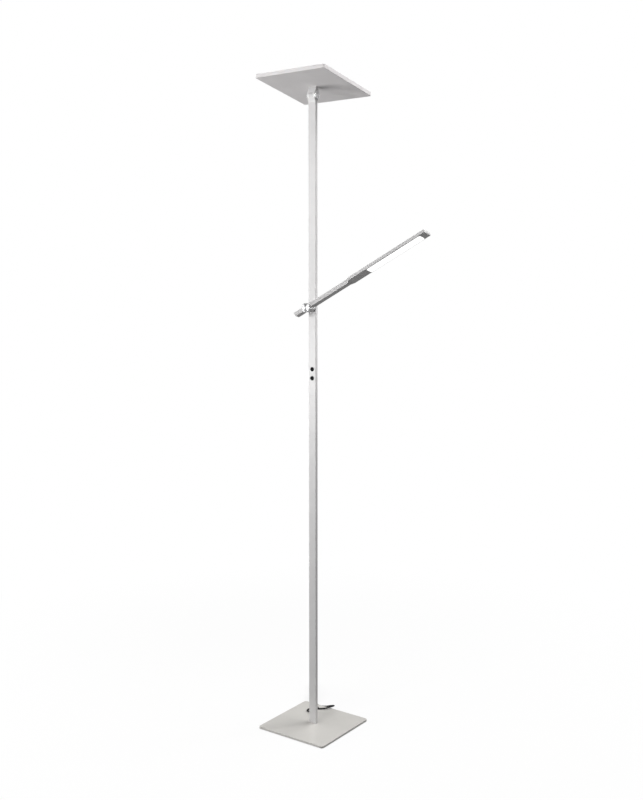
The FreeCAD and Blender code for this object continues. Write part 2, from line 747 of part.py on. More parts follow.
mount_plate_top = pan_floor + mount_plate_thickness
mount_plate = centred_box(mount_plate_length, mount_plate_width, (pan_floor, mount_plate_top))
bracket_screws = []
for x in bracket_screw_x:
    at = V(x, 0, 0)
    mount_plate = mount_plate.cut(rod(bracket_screw_diameter + 2 * screw_gap, pan_floor,
                                      mount_plate_top, up, at))
    screw = rod(bracket_screw_diameter, head_rise - bracket_screw_depth + 1.0, mount_plate_top, up, at)
    head = rod(7.0, mount_plate_top, mount_plate_top + 2.4, up, at)
    head = rim_filleted(head, 0.8, up, mount_plate_top + 2.4)
    socket = hexagon(2.5, mount_plate_top + 1.0, mount_plate_top + 2.4, up, at)
    bracket_screws.append(on_head(screw.fuse(head).cut(socket)))
nodes["head_mount_plate"] = on_head(mount_plate)
nodes["head_screws"] = all_of(bracket_screws)

# Strain relief in the pole's rear wall: an inner flange, a neck in the hole, a lip and a taper
relief_tip = front_face + relief_length
relief = rod(relief_diameter, relief_inner, front_face + 1.0, back, relief_at)
relief = relief.fuse([rod(relief_flange, relief_inner, front_inner, back, relief_at),
                      rod(relief_flange, front_face, front_face + 1.5, back, relief_at),
                      Part.makeCone(relief_diameter / 2, cord_diameter / 2 + 0.5,
                                    relief_length - 1.0, relief_at + back * (front_face + 1.0), back)])
nodes["cord_relief"] = relief.removeSplitter()

# Free cord from the relief, over the plate's rear edge and along it to the hank
on_plate = base_top + cord_diameter / 2 + 0.1
on_floor = cord_diameter / 2 + 0.1
over_edge = base_top + 1.5 * cord_diameter
cord_points = [(cord_exit_x, relief_tip, relief_z), (cord_exit_x, 30.4, relief_z), (-10.6, 38.0, 37.6),
               (-18.4, 43.6, 33.0), (-27.6, 46.2, 26.0), (-37.2, 47.2, 18.8), (-47.0, 48.2, 12.9),
               (-58.4, 50.4, on_plate), (-65.0, 56.3, on_plate), (-65.2, 65.3, on_plate),
               (-58.9, 72.2, on_plate), (-48.2, 79.9, on_plate), (-38.0, 87.5, on_plate + 0.2),
               (-26.6, 96.2, on_plate + 0.8), (-15.6, 106.0, over_edge), (-11.7, 119.5, over_edge),
               (-17.6, 131.2, 9.3), (-30.5, 133.4, 5.2), (-42.6, 124.6, 2.8),
               (-55.0, 118.9, on_floor), (-74.0, 118.7, on_floor), (-88.7, 138.9, on_floor)]
cord_route = [V(*point) for point in cord_points]
cord_path, cord_radii = rounded_route(cord_route)
nodes["cord_run"] = swept(cord_path, cord_diameter)
report_tube("cord_run", nodes["cord_run"], cord_path, cord_diameter, cord_radii)

# Hank of the put-away length. On the bench it starts at the origin and its runs lie along X.
hank_heading = cord_route[-1] - cord_route[-2]
hank_turn = math.degrees(math.atan2(hank_heading.y, hank_heading.x))
hank_place = Placement(cord_route[-1], Rotation(up, hank_turn))
waist_half = (cord_diameter + hank_waist_gap) / 2
run_half = hank_run / 2
loop_width = 2 * hank_fold_radius


def s_bend(start, end, heading):
    # Two equal arcs, both ends along the heading
    chord = end - start
    length = chord.dot(heading)
    aside = chord - heading * length
    offset = aside.Length
    radius = (length ** 2 + offset ** 2) / (4 * offset)
    aside.normalize()
    half_turn = math.asin(length / 2 / radius) / 2
    middle = (start + end) * 0.5
    reach = heading * (radius * math.sin(half_turn)) + aside * (radius * (1 - math.cos(half_turn)))
    return [Part.Arc(start, start + reach, middle).toShape(),
            Part.Arc(middle, end - reach, end).toShape()]


def fold(start, heading, side):
    # A half turn of two quarter arcs, towards side
    radius = hank_fold_radius
    centre = start + side * radius
    tip = centre + heading * radius
    slant = math.sqrt(0.5) * radius
    return [Part.Arc(start, centre + (heading - side) * slant, tip).toShape(),
            Part.Arc(tip, centre + (heading + side) * slant, centre + side * radius).toShape()]


hank_edges = []
for layer in range(hank_layers):
    level = layer * hank_layer_pitch
    near_right, far_right = V(0, 0, level), V(hank_run, 0, level)
    waist_right = V(run_half, hank_fold_radius - waist_half, level + hank_waist_lift)
    hank_edges += s_bend(near_right, waist_right, right)
    hank_edges += s_bend(waist_right, far_right, right)
    hank_edges += fold(far_right, right, back)
    if layer < hank_layers - 1:
        far_left, near_left = V(hank_run, loop_width, level), V(0, loop_width, level + hank_layer_pitch)
        waist_left = V(run_half, hank_fold_radius + waist_half,
                       level + hank_layer_pitch / 2 + hank_waist_lift)
        hank_edges += s_bend(far_left, waist_left, left)
        hank_edges += s_bend(waist_left, near_left, left)
        hank_edges += fold(near_left, left, front)
top_level = (hank_layers - 1) * hank_layer_pitch
plug_level = top_level + plug_height_over_hank
boot_start = run_half + 12.0
lead_end = V(boot_start, hank_fold_radius, plug_level)
straight_end = lead_end + right * cord_diameter
hank_edges += s_bend(V(hank_run, loop_width, top_level), straight_end, left)
hank_edges.append(Part.LineSegment(straight_end, lead_end).toShape())
hank_path = Part.Wire(hank_edges)
hank = swept(hank_path, cord_diameter)
nodes["cord_hank"] = placed(hank, hank_place)
report_tube("cord_hank", hank, hank_path, cord_diameter, [hank_fold_radius])
print("cord in all %.0f mm" % (cord_path.Length + hank_path.Length))


def least_self_gap(path, diameter, step):
    # Sampled points that are further apart along the tube than across its folds
    points = path.discretize(Number=int(path.Length / step))
    apart = int(6 * diameter / step)
    least = min((a - b).Length for i, a in enumerate(points) for b in points[i + apart:])
    return least - diameter


print("cord_hank least self gap %.2f" % least_self_gap(hank_path, cord_diameter, 2.0))

tie_inner_half = waist_half + cord_diameter / 2 + tie_gap
tie_low = hank_waist_lift - cord_diameter / 2 - tie_gap
tie_high = top_level + hank_waist_lift + cord_diameter / 2 + tie_gap


def tie_block(grown, half_length):
    return box((run_half - half_length, run_half + half_length),
               (hank_fold_radius - tie_inner_half - grown, hank_fold_radius + tie_inner_half + grown),
               (tie_low - grown, tie_high + grown))


tie = tie_block(tie_thickness, tie_width / 2).cut(tie_block(0, tie_width))
nodes["cord_tie"] = placed(tie, hank_place)

# Slim two-blade plug lying on the hank
boot_end = boot_start - plug_boot_length
plug_front = boot_end - plug_length
plug_axis_at = V(0, hank_fold_radius, plug_level)
boot = Part.makeCone(cord_diameter / 2 + 0.6, 4.3, plug_boot_length,
                     plug_axis_at + right * boot_start, left)
plug_bar = rounded_bar(plug_thickness, plug_width, 3.0, (plug_front, boot_end))
plug_bar = placed(plug_bar, Placement(plug_axis_at, Rotation(back, 90)))
nodes["plug_body"] = placed(plug_bar.fuse(boot).removeSplitter(), hank_place)
blades = []
for side in (-1, 1):
    y = hank_fold_radius + side * blade_spacing / 2
    blade = box((plug_front - blade_length, plug_front),
                (y - blade_thickness / 2, y + blade_thickness / 2),
                (plug_level - blade_width / 2, plug_level + blade_width / 2))
    hole = rod(3.0, -plug_width, plug_width, back, V(plug_front - blade_length + 5.0, y, plug_level))
    blades.append(placed(blade.cut(hole), hank_place))
nodes["plug_blades"] = all_of(blades)

os.makedirs("parts", exist_ok=True)
for name, shape in nodes.items():
    if not shape.isValid():
        print("not valid:", name)
    shape.exportStep("parts/%s.step" % name)
print(len(nodes), "nodes")
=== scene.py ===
import json
import math
import bmesh
import bpy
from mathutils import Matrix, Vector


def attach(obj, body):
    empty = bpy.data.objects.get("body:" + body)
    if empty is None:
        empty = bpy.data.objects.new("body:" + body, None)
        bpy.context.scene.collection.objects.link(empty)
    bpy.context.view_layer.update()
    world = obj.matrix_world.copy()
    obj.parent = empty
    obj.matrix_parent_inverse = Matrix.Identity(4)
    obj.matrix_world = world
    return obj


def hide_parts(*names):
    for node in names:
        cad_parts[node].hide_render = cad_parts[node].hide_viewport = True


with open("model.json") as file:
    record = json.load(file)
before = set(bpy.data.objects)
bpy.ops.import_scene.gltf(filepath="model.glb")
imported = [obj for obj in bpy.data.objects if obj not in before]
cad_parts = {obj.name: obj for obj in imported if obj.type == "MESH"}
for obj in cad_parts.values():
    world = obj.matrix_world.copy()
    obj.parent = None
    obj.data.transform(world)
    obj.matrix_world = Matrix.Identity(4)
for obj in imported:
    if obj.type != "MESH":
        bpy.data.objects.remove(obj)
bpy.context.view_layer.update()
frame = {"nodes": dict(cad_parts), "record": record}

nodes = frame["nodes"]
collection = bpy.context.scene.collection
millimetres = Matrix.Scale(0.001, 4)
print("frame loaded,", len(nodes), "nodes")

# camera at the place the lamp was photographed from
view = {"place": (1.6822, -2.2993, 1.2619), "aim": (-0.5804, 0.8072, -0.1072), "lens": 45.70,
        "nearest": 0.01}
camera = bpy.data.objects.new("camera", bpy.data.cameras.new("camera"))
camera.data.lens = view["lens"]
camera.data.clip_start = view["nearest"]
camera.location = view["place"]
camera.rotation_euler = Vector(view["aim"]).to_track_quat("-Z", "Y").to_euler()
collection.objects.link(camera)
bpy.context.scene.camera = camera
print("camera set")

# the cord's route in millimetres: out of the relief, down on the plate, over its rear edge
cordRoute = [(-6.5, 22.55, 39.2), (-6.5, 30.4, 39.2), (-10.6, 38.0, 37.6), (-18.4, 43.6, 33.0),
             (-27.6, 46.2, 26.0), (-37.2, 47.2, 18.8), (-47.0, 48.2, 12.9), (-58.4, 50.4, 9.4),
             (-65.0, 56.3, 9.4), (-65.2, 65.3, 9.4), (-58.9, 72.2, 9.4), (-48.2, 79.9, 9.4),
             (-38.0, 87.5, 9.6), (-26.6, 96.2, 10.2), (-15.6, 106.0, 13.5), (-11.7, 119.5, 13.5),
             (-17.6, 131.2, 9.3), (-30.5, 133.4, 5.2), (-42.6, 124.6, 2.8), (-55.0, 118.9, 2.2),
             (-74.0, 118.7, 2.2), (-88.7, 138.9, 2.2)]
cord = {"diameter": 0.0042, "length": 1.411, "steps": 10, "roundness": 5}

# the hank starts where the route ends; lead and climb take the cord from its last run up to the plug
hank = {"run": 122.0, "fold": 10.4, "layers": 4, "pitch": 4.8, "waist": 2.6, "lift": 1.3,
        "straight": 6.0, "shoulder": 18.0, "waistHalf": 15.5, "foldTurns": (-60, 0, 60),
        "lead": [(116.0, 20.8, 0.0), (107.5, 20.2, 0.8)], "climb": (91.0, 11.2, -0.6),
        "levelFrom": 82.0, "plugLevel": 24.15, "bootStart": 73.0, "intoBoot": 2.0}


def hankTurn():
    # the hank carries on in the heading of the route's last stretch
    last = Vector(cordRoute[-1])
    before = Vector(cordRoute[-2])
    heading = math.atan2(last.y - before.y, last.x - before.x)
    return Matrix.Translation(last) @ Matrix.Rotation(heading, 4, "Z")


def hankRun(xs, side, lowZ, highZ):
    # one run, drawn in and lifted at the waist
    edge = hank["fold"] + side * hank["fold"]
    waist = hank["fold"] + side * hank["waist"]
    middle = (lowZ + highZ) / 2 + hank["lift"]
    ys = (edge, edge, waist, waist, edge, edge)
    zs = (lowZ, lowZ, middle, middle, highZ, highZ)
    return list(zip(xs, ys, zs))


def hankFold(endX, outward, z, side):
    # half a turn to the other side; the control points stand out so that the spline stays round
    corner = hank["fold"] / math.cos(math.radians(hank["foldTurns"][-1] / 2))
    points = []
    for turn in hank["foldTurns"]:
        a = math.radians(turn)
        points.append((endX + outward * corner * math.cos(a), hank["fold"] - side * corner * math.sin(a), z))
    return points


def hankPoints():
    run = hank["run"]
    out = [hank["straight"], hank["shoulder"], run / 2 - hank["waistHalf"], run / 2 + hank["waistHalf"],
           run - hank["shoulder"], run - hank["straight"]]
    home = out[::-1]
    top = (hank["layers"] - 1) * hank["pitch"]
    points = []
    for layer in range(hank["layers"]):
        z = layer * hank["pitch"]
        points += hankRun(out, -1, z, z)
        points += hankFold(run, 1, z, -1)
        if layer < hank["layers"] - 1:
            points += hankRun(home, 1, z, z + hank["pitch"])
            points += hankFold(0.0, -1, z + hank["pitch"], 1)
    for x, y, rise in hank["lead"]:
        points.append((x, y, top + rise))
    x, y, rise = hank["climb"]
    points.append((x, y, hank["plugLevel"] + rise))
    points.append((hank["levelFrom"], hank["fold"], hank["plugLevel"]))
    points.append((hank["bootStart"] - hank["intoBoot"], hank["fold"], hank["plugLevel"]))
    return points


def addCord():
    curve = bpy.data.curves.new("powerCord", "CURVE")
    curve.dimensions = "3D"
    spline = curve.splines.new("NURBS")
    turn = hankTurn()
    places = [Vector(p) for p in cordRoute] + [turn @ Vector(p) for p in hankPoints()]
    spline.points.add(len(places) - 1)
    for point, place in zip(spline.points, places):
        point.co = (*(place / 1000), 1)
        point.radius = cord["diameter"] / 2
    spline.order_u = 3
    spline.use_endpoint_u = True
    curve.resolution_u = cord["steps"]
    curve.bevel_depth = 1.0  # times each point's radius
    curve.bevel_resolution = cord["roundness"]
    curve.use_fill_caps = True
    piece = bpy.data.objects.new("powerCord", curve)
    collection.objects.link(piece)
    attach(piece, "stand")
    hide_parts("cord_run", "cord_hank")
    return piece


powerCord = addCord()
print("cord laid")


# mesh helpers
def meshPiece(name, mesh, body, replaced):
    data = bpy.data.meshes.new(name)
    bmesh.ops.recalc_face_normals(mesh, faces=mesh.faces)
    mesh.to_mesh(data)
    mesh.free()
    for polygon in data.polygons:
        polygon.use_smooth = True
    piece = bpy.data.objects.new(name, data)
    collection.objects.link(piece)
    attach(piece, body)
    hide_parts(replaced)
    return piece


def roundSection(halfWidth, halfHeight, power, count):
    # a rounded rectangle as a superellipse, even steps in angle
    loop = []
    for i in range(count):
        a = 2 * math.pi * i / count
        c, s = math.cos(a), math.sin(a)
        loop.append((halfWidth * math.copysign(abs(c) ** (2 / power), c),
                     halfHeight * math.copysign(abs(s) ** (2 / power), s)))
    return loop


def bridge(mesh, rings):
    # each ring joined to the next one, and both ends closed
    for one, two in zip(rings, rings[1:]):
        for i in range(len(one)):
            j = (i + 1) % len(one)
            mesh.faces.new((one[i], one[j], two[j], two[i]))
    mesh.faces.new(rings[0][::-1])
    mesh.faces.new(rings[-1])


def loftAlong(sections, place):
    # sections are (distance, loop)
    mesh = bmesh.new()
    rings = []
    for distance, loop in sections:
        rings.append([mesh.verts.new(place @ Vector((distance, u, v))) for u, v in loop])
    bridge(mesh, rings)
    return mesh


# strain relief: a lip on the pole's rear wall, then a ribbed taper around the cord
# lipEdge and tipEdge are (distance, radius), ribEdge is (share of the pitch, share of the depth)
relief = {"x": -6.5, "z": 39.2, "wall": 4.75, "length": 17.8, "rootRadius": 3.2, "tipRadius": 2.6,
          "ribs": 6, "ribDepth": 0.42, "ribsFrom": 2.1, "ribsTo": 17.1, "around": 40,
          "lipEdge": [(0.0, 3.7), (0.15, 3.95), (1.15, 4.0), (1.5, 3.65), (1.55, 3.2)],
          "ribEdge": [(0.0, 0.0), (0.12, 0.15), (0.2, 1.0), (0.42, 1.0), (0.5, 0.15), (0.6, 0.0), (0.9, 0.0)],
          "tipEdge": [(17.4, 2.62), (17.7, 2.5), (17.8, 2.3)]}


def addRelief():
    outline = list(relief["lipEdge"])
    pitch = (relief["ribsTo"] - relief["ribsFrom"]) / relief["ribs"]
    taper = (relief["tipRadius"] - relief["rootRadius"]) / relief["length"]
    for rib in range(relief["ribs"]):
        for share, depth in relief["ribEdge"]:
            s = relief["ribsFrom"] + (rib + share) * pitch
            outline.append((s, relief["rootRadius"] + taper * s - depth * relief["ribDepth"]))
    outline += relief["tipEdge"]
    place = millimetres @ Matrix.Translation((relief["x"], relief["wall"], relief["z"])) \
        @ Matrix.Rotation(math.radians(90), 4, "Z")
    mesh = loftAlong([(s, roundSection(r, r, 2, relief["around"])) for s, r in outline], place)
    return meshPiece("strainRelief", mesh, "stand", "cord_relief")


strainRelief = addRelief()

# plug: moulded body with a waist of grip ridges and a ribbed boot, lying on the hank
# nose is (distance, inset), gripEdge is (share of the pitch, depth), shoulder is (distance, share of
# the way from body to boot), bootEdge is (share of the pitch, share of the depth)
plug = {"front": 19.0, "bodyEnd": 55.0, "halfWidth": 11.0, "halfHeight": 6.0, "bootEnd": 73.0,
        "bootRadius": 4.3, "tipRadius": 2.7, "around": 56, "noseShape": 5.5, "bodyShape": 5.0,
        "nose": [(0.0, 1.0), (0.2, 0.5), (0.6, 0.15), (1.2, 0.0), (9.0, 0.0)],
        "grips": 5, "gripFrom": 11.0, "gripTo": 27.0, "gripInset": (0.6, 0.15), "gripFlat": 0.6,
        "gripEdge": [(0.0, 0.0), (0.15, 0.1), (0.3, 0.75), (0.6, 0.75), (0.75, 0.1), (0.88, 0.0)],
        "shoulder": [(28.5, 0.0), (31.0, 0.08), (33.0, 0.2), (34.5, 0.36), (35.5, 0.52), (36.0, 0.66)],
        "neck": (4.6, 4.4), "neckRounding": 2.6,
        "ribs": 6, "ribDepth": 0.4, "ribRounding": 0.4,
        "bootEdge": [(0.05, 0.0), (0.2, 0.1), (0.3, 1.0), (0.55, 1.0), (0.65, 0.1), (0.8, 0.0)],
        "endInset": 0.35}


def addPlug():
    # outline rows are (distance, half width, half height, shape)
    outline = []
    width, height = plug["halfWidth"], plug["halfHeight"]
    for s, inset in plug["nose"]:
        outline.append((s, width - inset, height - inset, plug["noseShape"]))
    gripPitch = (plug["gripTo"] - plug["gripFrom"]) / plug["grips"]
    sideInset, topInset = plug["gripInset"]
    for grip in range(plug["grips"]):
        for share, depth in plug["gripEdge"]:
            s = plug["gripFrom"] + (grip + share) * gripPitch
            outline.append((s, width - sideInset - depth, height - topInset - plug["gripFlat"] * depth,
                            plug["bodyShape"]))
    neckWidth, neckHeight = plug["neck"]
    for s, share in plug["shoulder"]:
        outline.append((s, width * (1 - share) + neckWidth * share, height * (1 - share) + neckHeight * share,
                        plug["bodyShape"] - plug["neckRounding"] * share))
    bodyLength = plug["bodyEnd"] - plug["front"]
    bootLength = plug["bootEnd"] - plug["bodyEnd"]
    for rib in range(plug["ribs"]):
        for share, depth in plug["bootEdge"]:
            t = (rib + share) / plug["ribs"]
            radius = plug["bootRadius"] + (plug["tipRadius"] - plug["bootRadius"]) * t \
                - plug["ribDepth"] * depth
            outline.append((bodyLength + t * bootLength, radius, radius, 2 + plug["ribRounding"] * (1 - t)))
    tip = plug["tipRadius"] - plug["endInset"]
    outline.append((bodyLength + bootLength, tip, tip, 2))
    place = millimetres @ hankTurn() @ Matrix.Translation((plug["front"], hank["fold"], hank["plugLevel"]))
    mesh = loftAlong([(s, roundSection(w, h, shape, plug["around"])) for s, w, h, shape in outline], place)
    return meshPiece("plugMoulding", mesh, "stand", "plug_body")


plugMoulding = addPlug()

# tie: a strap wound once round the hank's waist, its end lapping over the top
strap = {"middle": 61.0, "width": 8.0, "halfInner": 5.0, "low": -1.1, "high": 18.1, "thickness": 0.9,
         "corner": 3.2, "lap": 4.5, "steps": 6, "start": 0.4, "edge": (0.25, 0.15),
         "ramp": [(0.8, 0.25), (1.3, 0.855)], "lapStart": 1.0}


def strapPath():
    # a rounded rectangle in the plane across the runs, then the lap over its first side
    half, low, high, r = strap["halfInner"], strap["low"], strap["high"], strap["corner"]
    thick = strap["thickness"]
    steps = strap["steps"]
    turns = [(half - r, high - r, 90), (half - r, low + r, 0), (r - half, low + r, -90),
             (r - half, high - r, -180)]
    path = [((r - half) * strap["start"], high)]
    for y, z, begin in turns:
        for step in range(steps + 1):
            a = math.radians(begin - 90 * step / steps)
            path.append((y + r * math.cos(a), z + r * math.sin(a)))
    for across, rise in strap["ramp"]:
        path.append((r - half + across, high + rise))
    path.append((half - r, high + thick))
    for step in range(1, steps):
        a = math.radians(90 - 90 * step / steps)
        path.append((half - r + (r + thick) * math.cos(a), high - r + (r + thick) * math.sin(a)))
    path.append((half + thick, high - r - strap["lapStart"]))
    path.append((half + thick, high - r - strap["lap"]))
    return path


def addStrap():
    thick = strap["thickness"]
    halfWidth = strap["width"] / 2
    inset, rounding = strap["edge"]
    # section rows are (place across the strap, distance out from its inner face)
    section = [(-halfWidth, rounding), (-halfWidth + inset, 0.0), (halfWidth - inset, 0.0),
               (halfWidth, rounding), (halfWidth, thick - rounding), (halfWidth - inset, thick),
               (-halfWidth + inset, thick), (-halfWidth, thick - rounding)]
    place = millimetres @ hankTurn() @ Matrix.Translation((strap["middle"], hank["fold"], 0.0))
    path = strapPath()
    mesh = bmesh.new()
    rings = []
    for i, (y, z) in enumerate(path):
        before = path[max(i - 1, 0)]
        after = path[min(i + 1, len(path) - 1)]
        along = Vector((after[0] - before[0], after[1] - before[1])).normalized()
        out = Vector((-along.y, along.x))
        rings.append([mesh.verts.new(place @ Vector((x, y + out.x * t, z + out.y * t))) for x, t in section])
    bridge(mesh, rings)
    return meshPiece("cordStrap", mesh, "stand", "cord_tie")


cordStrap = addStrap()
print("relief, plug and strap built")


# node helper: values are the node's own settings, inputs are its sockets' plain values
def addNode(tree, kind, inputs=None, **values):
    node = tree.nodes.new(kind)
    for key, value in values.items():
        setattr(node, key, value)
    for key, value in (inputs or {}).items():
        node.inputs[key].default_value = value
    return node


# what all finishes share: noise character, how sharply the cloud's tones part, where an edge gets its painted
# highlight
finishMaking = {"grainDetail": 2, "cloudDetail": 3, "noiseRoughness": 0.55, "toneFrom": 0.3, "toneTo": 0.7,
                "edgeFrom": 0.995, "edgeTo": 0.9, "bevelSamples": 4}


# a look is one dictionary; sizes are in millimetres, spread and speckle are shares of the colour
def newFinish(name, look):
    material = bpy.data.materials.new(name)
    material.use_nodes = True
    tree = material.node_tree
    shader = tree.nodes["Principled BSDF"]
    link = tree.links.new

    place = addNode(tree, "ShaderNodeTexCoord")
    stretch = addNode(tree, "ShaderNodeMapping", {"Scale": look.get("stretch", (1, 1, 1))})
    link(place.outputs["Object"], stretch.inputs["Vector"])

    def noise(size, detail, source):
        # size is the width of one grain
        node = addNode(tree, "ShaderNodeTexNoise", {"Scale": 1000 / size, "Detail": detail,
                                                    "Roughness": finishMaking["noiseRoughness"]})
        link(source, node.inputs["Vector"])
        return node.outputs["Fac"]

    grain = noise(look["grain"], finishMaking["grainDetail"], stretch.outputs["Vector"])
    cloud = noise(look["cloud"], finishMaking["cloudDetail"], place.outputs["Object"])

    # base colour drifts between a darker and a lighter tone with the cloud, and speckles with the grain
    darker = [max(c * (1 - look["spread"]), 0) for c in look["color"]]
    lighter = [min(c * (1 + look["spread"]), 1) for c in look["color"]]
    tone = addNode(tree, "ShaderNodeMix", data_type="RGBA")
    tone.inputs["A"].default_value = (*darker, 1)
    tone.inputs["B"].default_value = (*lighter, 1)
    toneShare = addNode(tree, "ShaderNodeMapRange", {"From Min": finishMaking["toneFrom"],
                                                     "From Max": finishMaking["toneTo"]})
    link(cloud, toneShare.inputs["Value"])
    link(toneShare.outputs["Result"], tone.inputs["Factor"])
    speckle = addNode(tree, "ShaderNodeMix", {"Factor": look["speckle"]}, data_type="RGBA",
                      blend_type="OVERLAY")
    link(tone.outputs["Result"], speckle.inputs["A"])
    grainTone = addNode(tree, "ShaderNodeCombineColor")
    for channel in ("Red", "Green", "Blue"):
        link(grain, grainTone.inputs[channel])
    link(grainTone.outputs["Color"], speckle.inputs["B"])
    finished = speckle.outputs["Result"]

    bump = addNode(tree, "ShaderNodeBump", {"Strength": look["bump"], "Distance": look["depth"] / 1000})
    link(grain, bump.inputs["Height"])

    if "edgeHighlight" in look:
        # painted edge highlight: a lighter colour, broken by the grain, where the bevelled normal leaves the
        # surface's own normal
        bevel = addNode(tree, "ShaderNodeBevel", {"Radius": look["edgeHighlightWidth"] / 1000},
                        samples=finishMaking["bevelSamples"])
        shape = addNode(tree, "ShaderNodeNewGeometry")
        agreement = addNode(tree, "ShaderNodeVectorMath", operation="DOT_PRODUCT")
        link(bevel.outputs["Normal"], agreement.inputs[0])
        link(shape.outputs["Normal"], agreement.inputs[1])
        edge = addNode(tree, "ShaderNodeMapRange", {"From Min": finishMaking["edgeFrom"],
                                                    "From Max": finishMaking["edgeTo"],
                                                    "To Max": look["edgeHighlight"]})
        link(agreement.outputs["Value"], edge.inputs["Value"])
        patchy = addNode(tree, "ShaderNodeMath", operation="MULTIPLY")
        link(edge.outputs["Result"], patchy.inputs[0])
        link(grain, patchy.inputs[1])
        highlightedEdge = addNode(tree, "ShaderNodeMix", data_type="RGBA")
        highlightedEdge.inputs["B"].default_value = (*look["edgeHighlightColor"], 1)
        link(patchy.outputs["Value"], highlightedEdge.inputs["Factor"])
        link(finished, highlightedEdge.inputs["A"])
        finished = highlightedEdge.outputs["Result"]
        link(bevel.outputs["Normal"], bump.inputs["Normal"])

    low, high = look["roughness"]
    gloss = addNode(tree, "ShaderNodeMapRange", {"To Min": low, "To Max": high})
    link(cloud, gloss.inputs["Value"])

    link(finished, shader.inputs["Base Color"])
    link(bump.outputs["Normal"], shader.inputs["Normal"])
    link(gloss.outputs["Result"], shader.inputs["Roughness"])
    shader.inputs["Metallic"].default_value = look.get("metallic", 0.0)
    shader.inputs["Coat Weight"].default_value = look.get("coat", 0.0)
    shader.inputs["Coat Roughness"].default_value = look.get("coatRoughness", 0.1)
    shader.inputs["Specular IOR Level"].default_value = look.get("specular", 0.5)
    if "spun" in look:
        shader.inputs["Anisotropic"].default_value = look["spun"]
        turned = addNode(tree, "ShaderNodeTangent", direction_type="RADIAL", axis=look["spunAxis"])
        link(turned.outputs["Tangent"], shader.inputs["Tangent"])
    if "glow" in look:
        shader.inputs["Emission Color"].default_value = (*look["glowColor"], 1)
        shader.inputs["Emission Strength"].default_value = look["glow"]
    return material


# the lighter edge colour is a painted highlight on the fillets
silverPaint = {"color": (0.605, 0.598, 0.598), "spread": 0.03, "speckle": 0.06, "grain": 0.35, "cloud": 60,
               "bump": 0.05, "depth": 0.02, "roughness": (0.32, 0.38), "metallic": 0.15,
               "edgeHighlight": 0.5, "edgeHighlightWidth": 0.6, "edgeHighlightColor": (0.78, 0.78, 0.77)}
platePaint = {**silverPaint, "color": (0.635, 0.62, 0.59), "cloud": 90}
# the head pan's paint is matte, and lighter than the silver paint to make up for light its underside misses:
# painted light
panPaintLightened = {**silverPaint, "color": (0.755, 0.735, 0.735), "metallic": 0.0, "roughness": (0.6, 0.68),
            "specular": 0.1}
# the silver paint made lighter on the head bracket: painted light for the low light from the left that its
# downturned face misses
bracketPaintedLight = {**silverPaint, "color": (0.76, 0.755, 0.755)}
satinHub = {**silverPaint, "color": (0.62, 0.62, 0.62), "metallic": 0.5, "roughness": (0.28, 0.34),
            "grain": 0.15, "cloud": 15}
zincSteel = {"color": (0.55, 0.55, 0.56), "spread": 0.06, "speckle": 0.2, "grain": 0.25, "cloud": 8,
             "bump": 0.15, "depth": 0.02, "roughness": (0.28, 0.4), "metallic": 1.0, "stretch": (1, 1, 0.08)}
blackOxide = {"color": (0.045, 0.045, 0.048), "spread": 0.1, "speckle": 0.2, "grain": 0.2, "cloud": 3,
              "bump": 0.15, "depth": 0.02, "roughness": (0.4, 0.5), "metallic": 0.6}
# the chrome's colour is darkened to 0.42 to hold down the soft boxes' glare on the pivot cap: painted shade;
# the hinge caps' copy below keeps a plain chrome 0.85
spunChrome = {"color": (0.42, 0.42, 0.425), "spread": 0.02, "speckle": 0.06, "grain": 0.12, "cloud": 10,
              "bump": 0.04, "depth": 0.01, "roughness": (0.24, 0.28), "metallic": 1.0,
              "spun": 0.93, "spunAxis": "Y"}
hingeChrome = {**spunChrome, "color": (0.85, 0.85, 0.86), "spunAxis": "X"}
foamPad = {"color": (0.035, 0.035, 0.037), "spread": 0.2, "speckle": 0.5, "grain": 0.5, "cloud": 12,
           "bump": 0.6, "depth": 0.15, "roughness": (0.85, 0.95), "specular": 0.25}
rubber = {"color": (0.016, 0.016, 0.017), "spread": 0.15, "speckle": 0.3, "grain": 0.25, "cloud": 6,
          "bump": 0.3, "depth": 0.04, "roughness": (0.55, 0.65), "specular": 0.4}
cableJacket = {"color": (0.010, 0.010, 0.011), "spread": 0.15, "speckle": 0.2, "grain": 0.3, "cloud": 9,
               "bump": 0.2, "depth": 0.03, "roughness": (0.46, 0.54), "specular": 0.22}
darkWasher = {"color": (0.03, 0.03, 0.034), "spread": 0.12, "speckle": 0.2, "grain": 0.2, "cloud": 4,
              "bump": 0.2, "depth": 0.03, "roughness": (0.45, 0.55)}
# the lighter edge colour is a painted highlight on the fillets
blackPlastic = {"color": (0.013, 0.013, 0.014), "spread": 0.12, "speckle": 0.25, "grain": 0.18, "cloud": 5,
                "bump": 0.25, "depth": 0.03, "roughness": (0.32, 0.42), "edgeHighlight": 0.35, "edgeHighlightWidth": 0.3,
                "edgeHighlightColor": (0.04, 0.04, 0.042)}
blackButton = {**blackPlastic, "color": (0.006, 0.006, 0.0065), "roughness": (0.5, 0.58), "specular": 0.08}
greyPlastic = {"color": (0.50, 0.50, 0.49), "spread": 0.03, "speckle": 0.1, "grain": 0.25, "cloud": 6,
               "bump": 0.2, "depth": 0.03, "roughness": (0.42, 0.5)}
palePlastic = {"color": (0.72, 0.72, 0.70), "spread": 0.03, "speckle": 0.08, "grain": 0.3, "cloud": 12,
               "bump": 0.15, "depth": 0.03, "roughness": (0.45, 0.55)}
solderMask = {"color": (0.74, 0.75, 0.72), "spread": 0.03, "speckle": 0.12, "grain": 0.2, "cloud": 7,
              "bump": 0.1, "depth": 0.02, "roughness": (0.25, 0.32)}
phosphor = {"color": (0.85, 0.70, 0.22), "spread": 0.05, "speckle": 0.15, "grain": 0.15, "cloud": 2,
            "bump": 0.1, "depth": 0.02, "roughness": (0.2, 0.28), "coat": 0.6}
